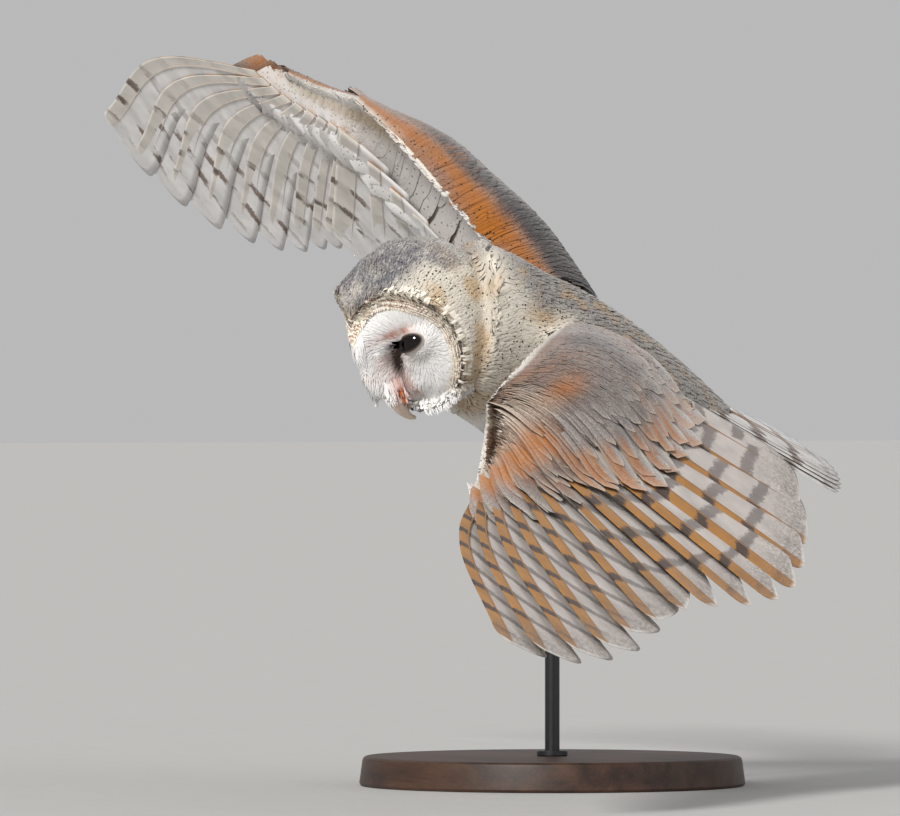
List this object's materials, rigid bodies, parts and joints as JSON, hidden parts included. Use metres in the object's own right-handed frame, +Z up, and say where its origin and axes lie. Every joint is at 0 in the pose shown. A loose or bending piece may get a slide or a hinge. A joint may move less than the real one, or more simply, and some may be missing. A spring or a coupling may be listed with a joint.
{
  "type": "barn owl",
  "caption": "Still life-size model of a barn owl braking in flight with spread wings and lowered feet, held over a round display base by a thin rod.",
  "frame": {"origin": "middle of the display base's flat underside", "axes": "+Z up; the owl heads along -Y with its left side towards +X"},
  "size_m": [0.7624, 0.4888, 0.4047],
  "materials": {
    "plumage": "soft body feathers, golden buff and pearl grey above, white to cream below",
    "flight_feathers": "stiff flight feathers, orange outer webs, pale inner webs and dark bars",
    "bill": "ivory to pinkish horn with a soft sheen",
    "eye": "wet, nearly black brown eye",
    "foot_skin": "grey-brown scaly skin with short white bristle feathers",
    "claw": "blackish horn",
    "stand_wood": "dark stained wood, satin",
    "stand_rod": "black painted steel rod, satin"
  },
  "bodies": {
    "root": {"bill_lower": "bill", "bill_upper": "bill", "claw_left_hind": "claw", "claw_left_inner": "claw", "claw_left_middle": "claw", "claw_left_outer": "claw", "claw_right_hind": "claw", "claw_right_inner": "claw", "claw_right_middle": "claw", "claw_right_outer": "claw", "eye_left": "eye", "eye_right": "eye", "head": "plumage", "leg_left_foot": "foot_skin", "leg_left_thigh": "plumage", "leg_right_foot": "foot_skin", "leg_right_thigh": "plumage", "neck": "plumage", "stand_base": "stand_wood", "stand_rod": "stand_rod", "tail": "flight_feathers", "trunk": "plumage", "wing_left_arm": "plumage", "wing_left_hand": "plumage", "wing_left_primaries": "flight_feathers", "wing_left_secondaries": "flight_feathers", "wing_right_arm": "plumage", "wing_right_hand": "plumage", "wing_right_primaries": "flight_feathers", "wing_right_secondaries": "flight_feathers"}
  },
  "joints": []
}
